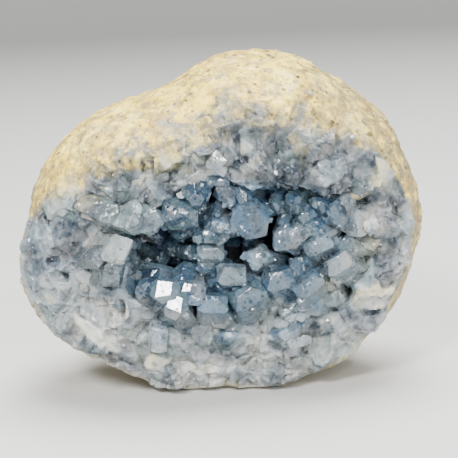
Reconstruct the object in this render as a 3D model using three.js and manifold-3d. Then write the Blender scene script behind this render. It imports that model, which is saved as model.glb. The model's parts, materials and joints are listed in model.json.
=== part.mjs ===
// A celestite geode: a rounded nodule broken open at the front, where a hollow lined with
// blocky, chisel-ended crystals shows. Millimetres, +Z up. The hollow faces -Y, and the
// nodule stands on a small flat spot in the plane z = 0, centred under it in X and Y.
import * as THREE from "three";
import { ConvexGeometry } from "three/addons/geometries/ConvexGeometry.js";
import { mergeVertices } from "three/addons/utils/BufferGeometryUtils.js";
import Module from "manifold-3d";

const wasm = await Module();
wasm.setup();

// ---------------------------------------------------------------- driving dimensions
// The nodule's outline seen from the front, as [x, height above the flat spot].
const OUTLINE = [
  [57.6, 49], [56.4, 57], [53.8, 65], [46.8, 77], [37.8, 85], [28.5, 91], [18, 95.8],
  [6, 95.6], [-4.5, 92.6], [-11, 88], [-20, 84.4], [-32.6, 80.6], [-42, 74], [-49.7, 64.3],
  [-54.9, 52], [-58, 38], [-56.3, 28], [-49.5, 19], [-37.3, 10.5], [-27.5, 4.6],
  [-15, 0.6], [-4, -0.8], [10, -0.8], [20, 0.8], [31, 4.8], [42.2, 13.2], [51.1, 24],
  [54.3, 31.5], [56.8, 41],
];
const MIDDLE = new THREE.Vector3(0, 0, 48); // the nodule's middle, which its radii start from
const WIDEST = 58; // the most that the outline reaches from the middle
const BACK_DEPTH = 43; // from the middle to the rear of the nodule
const FRONT_DEPTH = 42; // where the front would end if it were not broken off
const ROUNDNESS = 2.25; // exponent of the section from front to back: 2 is an ellipse
const BASE_FULLNESS = 0.12; // how much the underside swells towards the rear, over the foot

// The broken face at the front: how far in front of the middle it lies.
const FACE_AT_RIM = 19.5;
const FACE_LEAN = 7; // added towards the top and taken off towards the bottom
const FACE_BULGE = 14; // added at the middle of the face
const RIM_ROUNDING = 2.5; // radius that the rim is worn to

// The hollow, an uneven ellipsoid that opens through the broken face.
const HOLLOW_MIDDLE = new THREE.Vector3(6, -23, 42);
const HOLLOW_HALF = new THREE.Vector3(36, 29, 25);
const SLOT_MIDDLE = new THREE.Vector3(36, -27, 55); // a crevice that runs on to the right
const SLOT_HALF = new THREE.Vector3(17, 13, 3.4);

// Relief, as [height, wavelength] of each size of lump.
const RIND_LUMPS = [[1.1, 24], [0.6, 11]];
const OUTLINE_LUMPS = 0.35; // the share of them along the outline, which has its own shape
const FACE_LUMPS = [[1.3, 14], [0.9, 8]];
const HOLLOW_LUMPS = [[2.2, 26], [1.0, 12]];

// The crust that lines the hollow.
const CRUST_GAP = 0.3; // between the crust and the stone that carries it
const CRUST_THICKNESS = 2.6;
const CRUST_SETBACK = 3.5; // from the broken face to where the lining starts

// The big crystals of the hollow, as [tip], [point on the wall behind its root], width.
const BIG_CRYSTALS = [
  [[7, -26, 46], [9, -6, 55], 10.5], // hangs in the middle of the opening
  [[14, -24, 50], [16, -6, 57], 9],
  [[-4, -27, 47], [1, -8, 58], 10],
  [[-10, -30, 51], [-10, -12, 60], 10.5],
  [[-16, -31, 52], [-29, -18, 56], 10.5], // overhangs from the left
  [[-23, -30, 43], [-33, -18, 46], 8.5],
  [[-7, -32, 58], [-5, -24, 72], 7], // a column under the roof
  [[28, -25, 52], [37, -12, 52], 6.5],
  [[-3, -15, 44], [-3, 0, 27], 7.5], // these stand on the floor
  [[10, -16, 43], [11, 0, 28], 7],
  [[19, -19, 47], [21, -2, 32], 8],
  [[24, -22, 45], [29, -6, 31], 7.5],
  [[-14, -25, 36], [-15, -10, 18], 9.5],
  [[-8, -26, 37], [-7, -12, 19], 8],
  [[-4, -28, 31], [-4, -18, 15], 8.5],
  [[5, -27, 33], [7, -14, 16], 9],
  [[15, -25, 38], [17, -10, 20], 8.5],
  [[23, -27, 35], [25, -14, 18], 8],
  [[30, -27, 40], [39, -16, 28], 8.5],
];

// The big crystals of the broken face, as [tip x, z], [x, z that it grew from], width.
const BIG_FACE_CRYSTALS = [
  [[-39, 42], [-39, 53], 10],
  [[-24, 33], [-27, 16], 6],
  [[-32, 38], [-44, 29], 8],
  [[-24, 61], [-34, 67], 9],
  [[-13, 68], [-18, 77], 8.5],
  [[6, 65], [6, 76], 8],
  [[18, 62], [21, 74], 10], // the lip over the hollow
  [[28, 61], [33, 72], 9.5],
  [[38, 59], [44, 69], 8.5],
  [[35, 43], [48, 38], 8.5],
  [[34, 48], [47, 47], 8],
  [[-10, 21], [-15, 6], 8],
  [[-31, 24], [-43, 14], 7],
  [[1, 23], [1, 6], 8.5],
  [[17, 24], [20, 8], 8],
  [[31, 30], [40, 15], 8.5],
  [[35, 34], [48, 25], 9],
];
const FACE_PROUD = [1.6, 3.2]; // how far the big crystals stand out of the face

// Every crystal's thickness and chisel height, as shares of its width, and its shoulder's slope.
const THICKNESS_SHARE = [0.55, 0.85];
const CHISEL_SHARE = [0.3, 0.5];
const SLANT = [-0.25, 0.25];

// Smaller crystals between the big ones, spread evenly and then shaken.
const CRUST_CRYSTALS = 84;
const CRUST_CRYSTAL_WIDTH = [5, 8];
const CRUST_CRYSTAL_LENGTH = [7, 11];
const CRUST_LEAN = 0.3; // how far they lean out towards the opening, and how far they stray
const CRUST_STRAY = 0.34;
const FACE_CRYSTALS = 135;
const FACE_CRYSTAL_WIDTH = [5.4, 8.6];
const FACE_CRYSTAL_PROUD = [1.4, 2.8];
const FACE_CRYSTAL_LENGTH = 8;
const FACE_LEAN_OUT = 0.9;
const FACE_STRAY = 0.45;
const RIND_THICKNESS = [4, 19]; // bare rind between the rim and the crystals, below and on top

// Subdivisions of the icosahedrons that the rounded shapes start from.
const BODY_DETAIL = 8;
const HOLLOW_DETAIL = 4;
const LINING_DETAIL = 3;

// ---------------------------------------------------------------- helpers
// A source of the same numbers between 0 and 1 on every run (the mulberry32 generator).
function randomFrom(seed) {
  let state = seed;
  return () => {
    state = (state + 0x6d2b79f5) | 0;
    let t = Math.imul(state ^ (state >>> 15), 1 | state);
    t = (t + Math.imul(t ^ (t >>> 7), 61 | t)) ^ t;
    return ((t ^ (t >>> 14)) >>> 0) / 4294967296;
  };
}

const between = ([low, high], share) => low + (high - low) * share;

const GOLDEN_ANGLE = Math.PI * (3 - Math.sqrt(5));

// Smooth uneven relief at a point: waves in six directions, of lengths that never line up.
const WAVE_COUNT = 6;
const WAVE_STRETCH = 0.13;
const WAVE_START = 1.7;
const WAVE_SUM = 2.4; // about what they add up to at the tops of the lumps
const WAVES = Array.from({ length: WAVE_COUNT }, (_, i) => {
  const turn = i * GOLDEN_ANGLE;
  const rise = -1 + (2 * i + 1) / WAVE_COUNT;
  const flat = Math.sqrt(1 - rise * rise);
  return new THREE.Vector3(flat * Math.cos(turn), flat * Math.sin(turn), rise);
});

function relief(point, sizes) {
  let height = 0;
  for (const [size, wavelength] of sizes) {
    const pitch = (2 * Math.PI) / wavelength;
    let sum = 0;
    WAVES.forEach((wave, i) => {
      sum += Math.sin(wave.dot(point) * pitch * (1 + WAVE_STRETCH * i) + WAVE_START * i);
    });
    height += (size * sum) / WAVE_SUM;
  }
  return height;
}

function smoothMin(a, b, blend) {
  const h = Math.max(blend - Math.abs(a - b), 0) / blend;
  return Math.min(a, b) - (h * h * blend) / 4;
}

// A closed geometry as a solid that can be cut and joined.
function solid(geometry) {
  const bare = geometry.clone();
  for (const name of Object.keys(bare.attributes)) {
    if (name !== "position") bare.deleteAttribute(name);
  }
  const merged = mergeVertices(bare, 1e-4);
  return new wasm.Manifold(new wasm.Mesh({
    numProp: 3,
    vertProperties: merged.attributes.position.array,
    triVerts: new Uint32Array(merged.index.array),
  }));
}

function geometryOf(made) {
  const { vertProperties, triVerts } = made.getMesh();
  return new THREE.BufferGeometry()
    .setAttribute("position", new THREE.BufferAttribute(vertProperties, 3))
    .setIndex(new THREE.BufferAttribute(triVerts, 1))
    .toNonIndexed();
}

const join = (solids) => solids.reduce((all, one) => all.add(one));

// A ball whose radius in each direction comes from a function.
function ball(middle, detail, radiusTowards) {
  const geometry = new THREE.IcosahedronGeometry(1, detail);
  const position = geometry.attributes.position;
  const direction = new THREE.Vector3();
  for (let i = 0; i < position.count; i++) {
    direction.fromBufferAttribute(position, i).normalize();
    const point = direction.clone().multiplyScalar(radiusTowards(direction)).add(middle);
    position.setXYZ(i, point.x, point.y, point.z);
  }
  return solid(geometry);
}

// ---------------------------------------------------------------- the nodule
// The outline's radius about the middle, for each angle from +X towards +Z.
const outlineRadius = (() => {
  const curve = new THREE.CatmullRomCurve3(
    OUTLINE.map(([x, z]) => new THREE.Vector3(x - MIDDLE.x, z - MIDDLE.z, 0)), true, "centripetal",
  );
  const samples = curve.getPoints(720).map((p) => [Math.atan2(p.y, p.x), Math.hypot(p.x, p.y)]);
  samples.sort((a, b) => a[0] - b[0]);
  return (angle) => {
    const after = samples.findIndex(([a]) => a >= angle);
    const [a1, r1] = samples[after < 0 ? 0 : after];
    const [a0, r0] = samples[after <= 0 ? samples.length - 1 : after - 1];
    const step = (a1 - a0 + 2 * Math.PI) % (2 * Math.PI);
    const share = step ? ((angle - a0 + 2 * Math.PI) % (2 * Math.PI)) / step : 0;
    return r0 + (r1 - r0) * Math.min(share, 1);
  };
})();

// How far the unbroken nodule reaches in a direction.
function rindRadius(direction) {
  const across = Math.hypot(direction.x, direction.z);
  const outline = outlineRadius(Math.atan2(direction.z, direction.x));
  const depth = direction.y > 0 ? BACK_DEPTH : FRONT_DEPTH;
  const swell = 1 + BASE_FULLNESS * Math.max(0, -direction.z) * Math.max(0, direction.y);
  const sum = (across / outline) ** ROUNDNESS + (Math.abs(direction.y) / depth) ** ROUNDNESS;
  const radius = swell / sum ** (1 / ROUNDNESS);
  const share = OUTLINE_LUMPS + Math.abs(direction.y);
  return radius + relief(direction.clone().multiplyScalar(radius), RIND_LUMPS) * share;
}

// How far it is to the broken face in a direction, or Infinity behind it.
function faceRadius(direction) {
  const ahead = -direction.y;
  if (ahead <= 0.05) return Infinity;
  const depth = FACE_AT_RIM + FACE_LEAN * direction.z + FACE_BULGE * ahead * ahead;
  const radius = depth / ahead;
  return radius + relief(direction.clone().multiplyScalar(radius), FACE_LUMPS);
}

const bodyRadius = (direction) =>
  smoothMin(rindRadius(direction), Math.min(faceRadius(direction), 500), RIM_ROUNDING);

// ---------------------------------------------------------------- the hollow
function hollowRadius(direction, inset) {
  const { x, y, z } = HOLLOW_HALF;
  const radius = 1 / Math.hypot(direction.x / x, direction.y / y, direction.z / z);
  return radius + relief(direction.clone().multiplyScalar(radius), HOLLOW_LUMPS) - inset;
}

const hollow = (inset, detail = HOLLOW_DETAIL) =>
  ball(HOLLOW_MIDDLE, detail, (direction) => hollowRadius(direction, inset));

const slot = () =>
  ball(SLOT_MIDDLE, 2, (d) => 1 / Math.hypot(d.x / SLOT_HALF.x, d.y / SLOT_HALF.y, d.z / SLOT_HALF.z));

// Whether a crystal's width on either side of a place would reach into the crevice.
const nearSlot = (point) =>
  Math.abs(point.z - SLOT_MIDDLE.z) < SLOT_HALF.z + FACE_CRYSTAL_WIDTH[0]
  && Math.abs(point.x - SLOT_MIDDLE.x) < SLOT_HALF.x;

// ---------------------------------------------------------------- crystals
const BROAD_SIDE = 0.45; // the broad side's share of a crystal's width
const CHISEL_EDGE = 0.35; // the chisel edge's

// A celestite crystal along +Z from its root at z = 0: six sides, two of them broad, under a
// chisel end whose edge runs along the width. The shoulder below it slants from side to side.
function crystal(width, thickness, length, chisel, slant) {
  const w = width / 2;
  const t = thickness / 2;
  const b = w * BROAD_SIDE;
  const e = w * CHISEL_EDGE;
  const shoulder = length - chisel;
  const section = [[w, 0], [b, t], [-b, t], [-w, 0], [-b, -t], [b, -t]];
  const points = [];
  for (const [x, y] of section) {
    points.push(new THREE.Vector3(x, y, 0));
    points.push(new THREE.Vector3(x, y, shoulder + slant * x));
  }
  points.push(new THREE.Vector3(e, 0, length));
  points.push(new THREE.Vector3(-e, 0, length));
  return new ConvexGeometry(points);
}

function placed(geometry, root, axis, spin) {
  const turn = new THREE.Quaternion().setFromUnitVectors(new THREE.Vector3(0, 0, 1), axis);
  turn.multiply(new THREE.Quaternion().setFromAxisAngle(new THREE.Vector3(0, 0, 1), spin));
  const matrix = new THREE.Matrix4().compose(root, turn, new THREE.Vector3(1, 1, 1));
  return solid(geometry.applyMatrix4(matrix));
}

function someCrystal(random, width, length) {
  const thickness = width * between(THICKNESS_SHARE, random());
  const chisel = width * between(CHISEL_SHARE, random());
  return crystal(width, thickness, length, chisel, between(SLANT, random()));
}

// A crystal between two points, turned about its length at random.
function crystalBetween(random, root, tip, width) {
  const axis = tip.clone().sub(root);
  return placed(someCrystal(random, width, axis.length()), root, axis.normalize(), random() * Math.PI);
}

// Places spread evenly over a disc of radius 1: each lies a golden angle on from the last.
function sunflower(share, number) {
  const angle = number * GOLDEN_ANGLE;
  return [Math.sqrt(share) * Math.cos(angle), Math.sqrt(share) * Math.sin(angle)];
}

// Directions spread evenly over a ball.
function* spread(count) {
  for (let i = 0; i < count; i++) {
    const y = 1 - (2 * i + 1) / count;
    const [x, z] = sunflower(1 - y * y, i);
    yield new THREE.Vector3(x, y, z);
  }
}

const shaken = (random, axis, most) =>
  axis.add(new THREE.Vector3(random() - 0.5, random() - 0.5, random() - 0.5).multiplyScalar(2 * most))
    .normalize();

// Crystals rooted in the hollow's wall that point in and out towards the opening.
function crustCrystals() {
  const random = randomFrom(11);
  const made = BIG_CRYSTALS.map(([tip, root, width]) =>
    crystalBetween(random, new THREE.Vector3(...root), new THREE.Vector3(...tip), width));
  for (const direction of spread(CRUST_CRYSTALS)) {
    const root = direction.clone().multiplyScalar(hollowRadius(direction, 0)).add(HOLLOW_MIDDLE);
    const inside = root.clone().sub(MIDDLE);
    if (inside.length() > faceRadius(inside.clone().normalize()) - CRUST_SETBACK / 2) continue;
    const inward = direction.clone().negate().add(new THREE.Vector3(0, -CRUST_LEAN, 0));
    const axis = shaken(random, inward, CRUST_STRAY);
    const tip = root.clone().addScaledVector(axis, between(CRUST_CRYSTAL_LENGTH, random()));
    made.push(crystalBetween(random, root, tip, between(CRUST_CRYSTAL_WIDTH, random())));
  }
  return made;
}

// The point of the broken face at a place seen from the front, moved forward by a distance.
function onFace(x, z, proud) {
  let y = -FACE_AT_RIM;
  for (let i = 0; i < 8; i++) {
    const direction = new THREE.Vector3(x, y, z - MIDDLE.z).normalize();
    y = direction.y * faceRadius(direction);
  }
  return new THREE.Vector3(x, y - proud, z);
}

// Broken crystals that stand a little out of the face, along lines that meet in the hollow.
function faceCrystals() {
  const random = randomFrom(29);
  const made = BIG_FACE_CRYSTALS.map(([tip, root, width]) =>
    crystalBetween(random, onFace(...root, -width), onFace(...tip, between(FACE_PROUD, random())), width));
  for (let i = 0; i < FACE_CRYSTALS; i++) {
    const [across, up] = sunflower(i / FACE_CRYSTALS, i);
    const bare = between(RIND_THICKNESS, Math.max(0, up));
    const rim = outlineRadius(Math.atan2(up, across)) - bare;
    const reach = Math.hypot(across, up) * WIDEST;
    const point = onFace(across * WIDEST, MIDDLE.z + up * WIDEST, 0);
    if (reach > rim || nearSlot(point)) continue;
    const inward = HOLLOW_MIDDLE.clone().sub(point).setY(0).normalize();
    const axis = shaken(random, inward.add(new THREE.Vector3(0, -FACE_LEAN_OUT, 0)), FACE_STRAY);
    const tip = point.clone().addScaledVector(axis, between(FACE_CRYSTAL_PROUD, random()));
    const root = tip.clone().addScaledVector(axis, -FACE_CRYSTAL_LENGTH);
    made.push(crystalBetween(random, root, tip, between(FACE_CRYSTAL_WIDTH, random())));
  }
  return made;
}

// ---------------------------------------------------------------- the two pieces
const nodule = ball(MIDDLE, BODY_DETAIL, bodyRadius);
const unbroken = ball(MIDDLE, HOLLOW_DETAIL, (direction) => rindRadius(direction));
const belowGround = solid(new THREE.BoxGeometry(200, 200, 20).translate(0, 0, -10));

const stone = join([nodule, join(faceCrystals()).intersect(unbroken)])
  .subtract(hollow(0))
  .subtract(slot())
  .subtract(belowGround);

const behindFace = ball(MIDDLE, HOLLOW_DETAIL, (direction) => bodyRadius(direction) - CRUST_SETBACK);
const lining = hollow(CRUST_GAP)
  .subtract(hollow(CRUST_GAP + CRUST_THICKNESS, LINING_DETAIL))
  .intersect(behindFace);
const crust = join([lining, ...crustCrystals()]).intersect(hollow(CRUST_GAP));

// Only the largest body of each counts: a chip that a cut left loose would have fallen out.
const largest = (made) => made.decompose().reduce((a, b) => (b.volume() > a.volume() ? b : a));

const stoneMaterial = new THREE.MeshStandardMaterial({ color: 0xcfc6b2, roughness: 0.85, metalness: 0 });
const crystalMaterial = new THREE.MeshStandardMaterial({ color: 0x8fa9bd, roughness: 0.25, metalness: 0 });

function piece(name, made, material) {
  const mesh = new THREE.Mesh(geometryOf(largest(made)), material);
  mesh.name = name;
  return mesh;
}

const geode = new THREE.Group();
geode.add(piece("stone_shell", stone, stoneMaterial));
geode.add(piece("crystal_crust", crust, crystalMaterial));

// The origin is under the middle of the box around the geode.
const box = new THREE.Box3().setFromObject(geode);
geode.position.set(-(box.min.x + box.max.x) / 2, -(box.min.y + box.max.y) / 2, 0);

export default geode;
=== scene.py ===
"""A celestite geode: a rough pale nodule, broken open over a hollow of blue crystals.

Laid out as an add-on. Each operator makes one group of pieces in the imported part's own frame.
"""
import json
import math
import random

import bmesh
import bpy
import numpy as np
from bpy.props import FloatProperty, FloatVectorProperty, IntProperty, PointerProperty
from mathutils import Matrix, Quaternion, Vector, noise
from mathutils.bvhtree import BVHTree

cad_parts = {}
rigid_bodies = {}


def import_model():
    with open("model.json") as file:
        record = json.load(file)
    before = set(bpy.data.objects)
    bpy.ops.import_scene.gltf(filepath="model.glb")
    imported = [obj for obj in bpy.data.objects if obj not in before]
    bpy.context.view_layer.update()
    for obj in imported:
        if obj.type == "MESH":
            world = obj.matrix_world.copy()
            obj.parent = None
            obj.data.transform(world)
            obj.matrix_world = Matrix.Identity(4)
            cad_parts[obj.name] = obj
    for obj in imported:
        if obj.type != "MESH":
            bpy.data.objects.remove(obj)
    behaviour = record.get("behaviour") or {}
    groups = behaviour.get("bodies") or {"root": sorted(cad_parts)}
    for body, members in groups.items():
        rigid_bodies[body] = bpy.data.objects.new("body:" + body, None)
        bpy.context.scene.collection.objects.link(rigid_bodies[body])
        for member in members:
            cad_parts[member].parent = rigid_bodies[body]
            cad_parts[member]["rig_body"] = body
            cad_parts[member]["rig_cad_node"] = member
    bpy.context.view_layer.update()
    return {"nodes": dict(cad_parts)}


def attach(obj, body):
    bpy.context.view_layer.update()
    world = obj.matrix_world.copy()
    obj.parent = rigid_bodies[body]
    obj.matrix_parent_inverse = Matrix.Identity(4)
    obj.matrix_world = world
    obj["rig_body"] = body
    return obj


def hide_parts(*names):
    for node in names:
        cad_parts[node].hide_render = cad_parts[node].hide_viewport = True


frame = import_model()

bl_info = {
    "name": "Celestite geode",
    "version": (1, 0, 0),
    "blender": (4, 5, 0),
    "location": "3D View > Sidebar > Geode",
    "description": "Builds a broken geode with its rind, wall and crystals",
    "category": "Object",
}

STONE = frame["nodes"]["stone_shell"]
STONE_SURFACE = BVHTree.FromObject(STONE, bpy.context.evaluated_depsgraph_get())
MM = 0.001

# ------------------------------------------------------------------ driving dimensions, mm
NODULE_MIDDLE = (0.1, -3.9, 48)  # in the part's frame; the places below are measured from there
FACE_AT_RIM = 19.5  # how far in front of the middle the broken face lies, as in the solid
FACE_LEAN = 7
FACE_BULGE = 14
HOLLOW_MIDDLE = (6, -23, -6)
HOLLOW_HALF = (36, 29, 25)

# Facets of the broken wall, as size, height and slope of each size of crystal in it.
FACETS = ((8, 0.6, 0.42), (3.6, 0.3, 0.4), (1.8, 0.08, 0.16))

# The hollow's opening seen from the front, as the middle and half sizes of its x and height, and
# the dark gaps that show between its crystals: middle x and height, half width and height, depth.
# The crystals in a gap are sunk by its depth and painted darker with it, as painted shade.
OPENING_MIDDLE = (2, 43)
OPENING_HALF = (29.5, 22)
GAPS = (
    (6, 45.5, 5, 3.8, 7), (12, 48, 4.5, 3, 7), (18.5, 39.5, 4.2, 2.2, 5), (-21, 45, 4.2, 6.5, 14),
    (-15, 43.5, 8, 4.5, 7), (3, 62, 3, 2.4, 5), (20, 59.2, 12, 1.9, 6),
)
# Small holes in the wall: middle x and height, half width, half height, depth.
HOLES = ((-1.5, 69, 3, 1.6, 6), (-29.7, 35.4, 2.4, 1.2, 5), (-46, 42, 1.6, 1, 3), (3, 66, 3.5, 1.5, 3))
# The roof of the hollow hangs lower on the right, as a lip.
LIP_DROP = 3.2
# A thin crevice that runs on from the hollow's upper right corner to the rim, and its width.
CREVICE = ((31, 60.3), (34, 59.7), (41, 58.5), (46.4, 57), (50.1, 50))
CREVICE_WIDTH = 0.9

# Crystals that are large enough to be known one by one: shape, tip, root, width, share of
# thickness, tone from pale to dark, and how far its end may lean. Heights are from the ground and
# the rest from the nodule's middle.
HOLLOW_CRYSTALS = (
    ("plate", (8.3, -30, 52.8), (9.5, -8, 50.5), 12.4, 0.82, 0.6, 0.3),  # faces out of the middle
    ("roof", (15.5, -25, 54), (17.7, -8, 58), 8, 0.7, 0.5, 1),
    ("wedge", (0.8, -29, 49), (4, -12, 57), 7.5, 0.7, 0.4, 1),
    ("spear", (-3.2, -28, 46.8), (-1.6, -12, 56), 7.5, 0.7, 0.7, 1),
    ("block", (-10.4, -34, 53), (-9, -22, 63), 9.5, 0.8, 0.95, 0.6),  # under the column
    ("spear", (-5.8, -35, 57.5), (-6.6, -29, 71), 7, 0.8, 1.1, 0.6),  # the column under the roof
    ("slab", (-20, -35.5, 55), (-34, -24, 57), 9, 0.7, 0.5, 0.5),  # overhangs from the left
    ("wedge", (-15.8, -34.5, 52.8), (-28, -23, 58), 7.5, 0.8, 0.65, 1),
    ("roof", (-27, -35, 55.5), (-36, -24, 58), 6.5, 0.8, 0.8, 1),
    ("block", (-26.7, -35.2, 46.8), (-34, -22, 45), 7.5, 0.85, 0.15, 1),
    ("wedge", (-30.5, -34.5, 45), (-37, -22, 43), 6, 0.85, 0.7, 1),
    ("wedge", (-27.5, -34.5, 40.3), (-34, -21, 38), 7, 0.85, 0.75, 1),
    ("roof", (-2.6, -26, 45), (-3.3, -8, 31), 7.5, 0.8, 0.15, 0.6),  # stands on the floor
    ("wedge", (2.5, -29, 38.5), (4, -13, 30), 8, 0.8, 0.1, 1),
    ("block", (10.4, -25, 41.5), (10.5, -9, 34), 7, 0.85, 0.0, 1),
    ("block", (16.5, -27, 46.5), (20, -11, 42), 6.5, 0.8, 0.3, 1),
    ("wedge", (20, -27, 48), (23, -10, 42), 8.5, 0.8, 0.0, 1),
    ("roof", (26, -28, 45.4), (29.1, -12, 38), 8, 0.7, 0.2, 1),
    ("hexagon", (-15.6, -33, 35.2), (-13.3, -16, 27.2), 8.5, 0.9, 0.8, 0),  # three that grew
    ("hexagon", (-12.6, -34, 31.4), (-10.3, -17, 23.4), 8, 0.9, 0.8, 0),  # the same way
    ("hexagon", (-9.4, -31.5, 35), (-7.1, -14.5, 27), 4.5, 0.9, 0.8, 0),
    ("block", (-8.2, -31, 33.5), (-7, -14, 29), 7.5, 0.9, 0.5, 1),
    ("spear", (-20.2, -30, 36), (-21, -14, 27), 6.5, 0.8, 0.9, 1),
    ("wedge", (-2.7, -31, 31.4), (-3.4, -15, 23), 8.5, 0.8, 0.45, 1),
    ("wedge", (6, -30, 33), (9, -13, 24), 10, 0.8, 0.6, 0.6),
    ("wedge", (15.1, -28, 36.5), (17.2, -12, 28), 8.5, 0.8, 0.6, 0.6),
    ("roof", (22.8, -29, 34.7), (25.3, -14, 27), 8.5, 0.7, 0.4, 1),
    ("wedge", (30.4, -29, 40), (37.5, -15, 34), 8, 0.7, 0.4, 1),
    ("roof", (22, -26, 53), (24, -10, 56), 7, 0.8, 0.95, 1),
    ("block", (31.3, -28, 52.3), (36, -13, 54), 7, 0.7, 0.8, 1),
    ("wedge", (40.3, -21.6, 42.6), (43, -8, 41), 8.5, 0.85, 0.7, 0.5),  # set in the wall
    ("wedge", (36.6, -21, 33.8), (39, -8, 32), 8, 0.85, 0.4, 1),
)
# Small flat faces that flash: x, height, width.
GLINTS = (
    (-18.3, 47.3, 2.4), (-3.7, 48.9, 2.6), (-2, 63, 1.6), (15.6, 65.3, 1.6), (10.3, 41.5, 2.6),
    (17, 53.5, 1.5), (20, 47.4, 1.8), (20, 41.3, 1.8), (-10.3, 27.9, 2.2), (8, 27.6, 1.7),
    (-4.4, 57, 1.3), (21.5, 29.4, 2.8), (26, 85, 1.5), (36.7, 73, 1.6), (27.7, 47.4, 1.5),
    (-43.5, 39.8, 1.5), (-12.2, 68.7, 1.8), (28.9, 20.8, 1.4), (-20.2, 18.3, 1.4), (1.8, 23, 1.6),
)
# They face half way between the camera and the key light. Each starts below the surface and
# stands out of it.
HALF_WAY = (-0.12, -0.9, 0.42)
GLINT_ROOT, GLINT_RISE = 3, 0.7
# Crystals broken off level with the face: shape, tip x and height, root x and height, width, tone.
FACE_CRYSTALS = (
    ("block", (-24, 61), (-32, 66), 8, 0.5),
    ("block", (18, 62), (20, 71), 9, 0.4),
    ("slab", (29, 61.5), (32, 70), 8, 0.4),
    ("spear", (-29, 26), (-36, 20), 6.5, 0.0),
    ("wedge", (17, 24), (19, 13), 7, 0.5),
)
# Places where the wall is stained or darker: x and height, radius, tone added, warmth.
# The darker row at 24 and 57, under the hollow's lip, is painted shade.
TINTS_AND_SHADE = (
    (24, 57, 9, 0.5, 0), (20, 70, 24, 0.2, 0), (-30, 60, 20, 0.15, 0), (0, 14, 22, -0.25, 0),
    (-42, 34, 10, -0.1, 0.1), (42, 42, 9, 0, 0.3), (39, 67, 7, 0.3, 0), (16, 66, 7, 0.3, 0),
    (-46, 57, 7, -0.15, 0), (12.6, 24.9, 6, -0.4, 0.4), (28, 31, 4, -0.4, 0.6),
    (-0.4, 22.5, 4, -0.4, 0.3), (42, 27.5, 4.5, -0.2, 0.6), (-10, 77, 8, -0.1, 0.9),
    (-40, 65, 7, -0.2, 0.8), (25, 75, 6, -0.2, 0.6), (-22, 69, 6, -0.1, 0.5),
    (-30, 22, 7, -0.3, 0.1), (5, 12, 8, -0.2, 0.2), (44, 60, 5, 0, 0.5),
)
# Places where the rind is thin and the wall shows through: x and height, half width, half height,
# share taken off.
THIN_RIND = ((-8, 82, 9, 5, 0.35), (-43, 62, 7, 4, 0.3), (6, 80, 6, 3, 0.2))
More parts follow.
